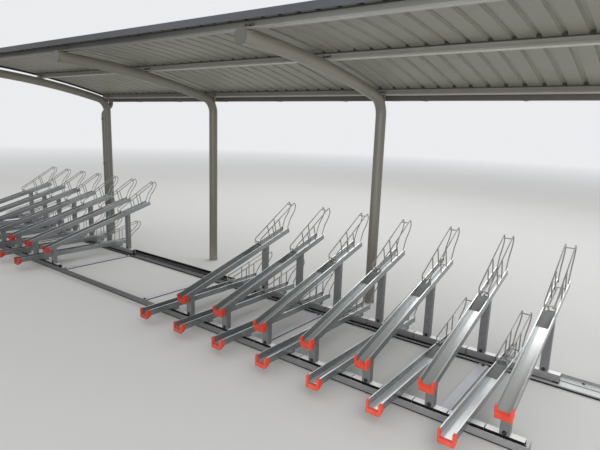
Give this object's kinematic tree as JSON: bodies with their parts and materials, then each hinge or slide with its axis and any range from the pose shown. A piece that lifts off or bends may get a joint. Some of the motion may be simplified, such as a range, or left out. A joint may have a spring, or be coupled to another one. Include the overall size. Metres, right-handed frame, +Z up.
{
  "type": "bike shelter",
  "caption": "Open cantilever bike shelter: bent tube posts carry an arched ribbed roof over low and high wheel racks that slide side by side on two floor rails.",
  "frame": {"origin": "centre of the second post's foot, at ground level", "axes": "+X along the rails to the right as seen from the entry side, +Y from the entry side to the posts, +Z up"},
  "size_m": [7.918, 1.8752, 2.1668],
  "materials": {
    "post_paint": "satin beige-grey paint",
    "purlin_steel": "dull grey paint",
    "roof_paint": "matt olive-grey coated sheet",
    "flashing_paint": "satin bluish-grey coated sheet",
    "gutter_paint": "satin dark grey",
    "rail_steel": "dull weathered galvanised steel",
    "carriage_steel": "dull galvanised steel",
    "channel_zinc": "bright galvanised steel",
    "leg_steel": "galvanised steel",
    "hoop_wire": "galvanised wire",
    "cap_red": "weathered red-orange plastic"
  },
  "bodies": {
    "shelter": {"bent_posts": "post_paint", "arm_end_caps": "post_paint", "front_purlin": "purlin_steel", "middle_purlin": "purlin_steel", "rear_purlin": "purlin_steel", "purlin_cleats": "purlin_steel", "rear_purlin_seats": "post_paint", "roof_sheet": "roof_paint", "front_flashing": "flashing_paint", "verge_trims": "flashing_paint", "rear_gutter": "gutter_paint", "gutter_hangers": "purlin_steel", "downpipe": "post_paint", "downpipe_straps": "purlin_steel", "front_rail": "rail_steel", "rear_rail": "rail_steel", "floor_ties": "rail_steel", "rail_end_stops": "rail_steel", "parked_carriages": "carriage_steel", "parked_low_channels": "channel_zinc", "parked_high_channels": "channel_zinc", "parked_low_seats": "leg_steel", "parked_high_legs": "leg_steel", "parked_low_hoops": "hoop_wire", "parked_high_hoops": "hoop_wire", "parked_end_caps": "cap_red"},
    "right_low_rack": {"right_low_rack_carriages": "carriage_steel", "right_low_rack_channel": "channel_zinc", "right_low_rack_seats": "leg_steel", "right_low_rack_hoop": "hoop_wire", "right_low_rack_end_cap": "cap_red"},
    "right_high_rack": {"right_high_rack_carriages": "carriage_steel", "right_high_rack_channel": "channel_zinc", "right_high_rack_legs": "leg_steel", "right_high_rack_hoop": "hoop_wire", "right_high_rack_end_cap": "cap_red"},
    "left_high_rack": {"left_high_rack_carriages": "carriage_steel", "left_high_rack_channel": "channel_zinc", "left_high_rack_legs": "leg_steel", "left_high_rack_hoop": "hoop_wire", "left_high_rack_end_cap": "cap_red"},
    "left_low_rack": {"left_low_rack_carriages": "carriage_steel", "left_low_rack_channel": "channel_zinc", "left_low_rack_seats": "leg_steel", "left_low_rack_hoop": "hoop_wire", "left_low_rack_end_cap": "cap_red"}
  },
  "joints": [
    {"name": "right_high_rack_slide", "type": "slide", "parent": "shelter", "child": "right_high_rack", "axis": [-1, 0, 0], "range_m": [0, 0.437]},
    {"name": "right_low_rack_slide", "type": "slide", "parent": "right_high_rack", "child": "right_low_rack", "axis": [-1, 0, 0], "range_m": [0, 0.437]},
    {"name": "left_low_rack_slide", "type": "slide", "parent": "shelter", "child": "left_low_rack", "axis": [1, 0, 0], "range_m": [0, 0.437]},
    {"name": "left_high_rack_slide", "type": "slide", "parent": "left_low_rack", "child": "left_high_rack", "axis": [1, 0, 0], "range_m": [0, 0.437]}
  ]
}
